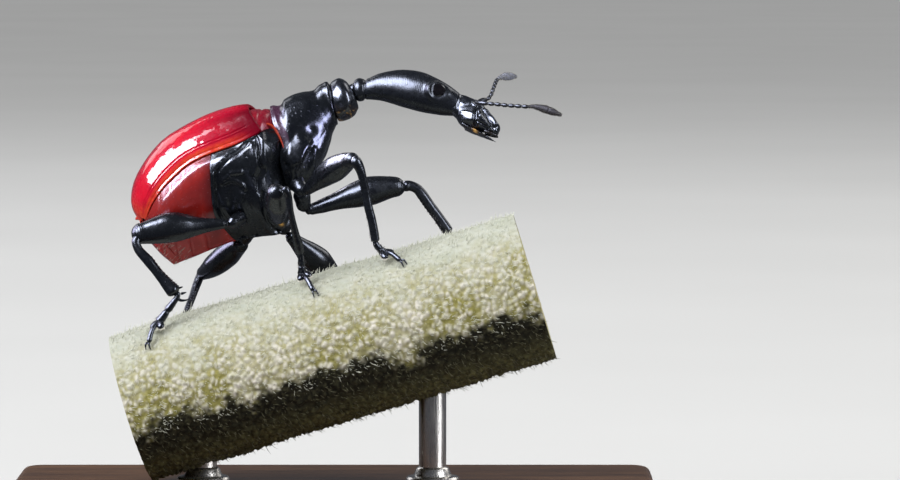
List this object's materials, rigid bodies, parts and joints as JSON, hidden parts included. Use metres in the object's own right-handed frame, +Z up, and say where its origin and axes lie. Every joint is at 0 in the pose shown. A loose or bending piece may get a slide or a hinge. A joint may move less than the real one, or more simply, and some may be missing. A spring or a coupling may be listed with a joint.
{
  "type": "giraffe weevil model on a perch",
  "caption": "Still life-size giraffe weevil with red wing cases and a black fore body, walking up a cut length of hairy stem on a plain stand.",
  "frame": {"origin": "on the base's underside, on the weevil's lengthwise line, under the rear of its prothorax", "axes": "+X the way the weevil faces, +Y its left, +Z up"},
  "size_m": [0.026, 0.014, 0.019],
  "materials": {
    "elytra_shell": "glossy red chitin with fine grooves",
    "abdomen_shell": "glossy dark red chitin",
    "waist_shell": "satin red-brown chitin",
    "black_shell": "glossy blue-black chitin, finely pitted and wrinkled",
    "leg_shell": "glossy blue-black chitin",
    "eye_lens": "mirror-bright black",
    "antenna_shell": "satin black with a short down on the clubs",
    "plant_stem": "matt grey-green bark, bumpy and bristly, dark along the underside",
    "stand_wood": "dark oiled hardwood",
    "stand_metal": "fine brushed"
  },
  "bodies": {
    "root": {"elytron_right": "elytra_shell", "elytron_left": "elytra_shell", "abdomen": "abdomen_shell", "thorax_rear": "black_shell", "waist": "waist_shell", "prothorax": "black_shell", "collar": "black_shell", "neck": "black_shell", "head": "black_shell", "rostrum": "black_shell", "mandible_right": "black_shell", "mandible_left": "black_shell", "eye_right": "eye_lens", "eye_left": "eye_lens", "antenna_right": "antenna_shell", "antenna_left": "antenna_shell", "antenna_club_right": "antenna_shell", "antenna_club_left": "antenna_shell", "leg_front_right_coxa": "leg_shell", "leg_front_right_femur": "leg_shell", "leg_front_right_tibia": "leg_shell", "leg_front_right_tarsus": "leg_shell", "leg_front_left_coxa": "leg_shell", "leg_front_left_femur": "leg_shell", "leg_front_left_tibia": "leg_shell", "leg_front_left_tarsus": "leg_shell", "leg_mid_right_coxa": "leg_shell", "leg_mid_right_femur": "leg_shell", "leg_mid_right_tibia": "leg_shell", "leg_mid_right_tarsus": "leg_shell", "leg_mid_left_coxa": "leg_shell", "leg_mid_left_femur": "leg_shell", "leg_mid_left_tibia": "leg_shell", "leg_mid_left_tarsus": "leg_shell", "leg_hind_right_coxa": "leg_shell", "leg_hind_right_femur": "leg_shell", "leg_hind_right_tibia": "leg_shell", "leg_hind_right_tarsus": "leg_shell", "leg_hind_left_coxa": "leg_shell", "leg_hind_left_femur": "leg_shell", "leg_hind_left_tibia": "leg_shell", "leg_hind_left_tarsus": "leg_shell", "perch_stem": "plant_stem", "stand_base": "stand_wood", "stand_rod_1": "stand_metal", "stand_rod_2": "stand_metal"}
  },
  "joints": []
}
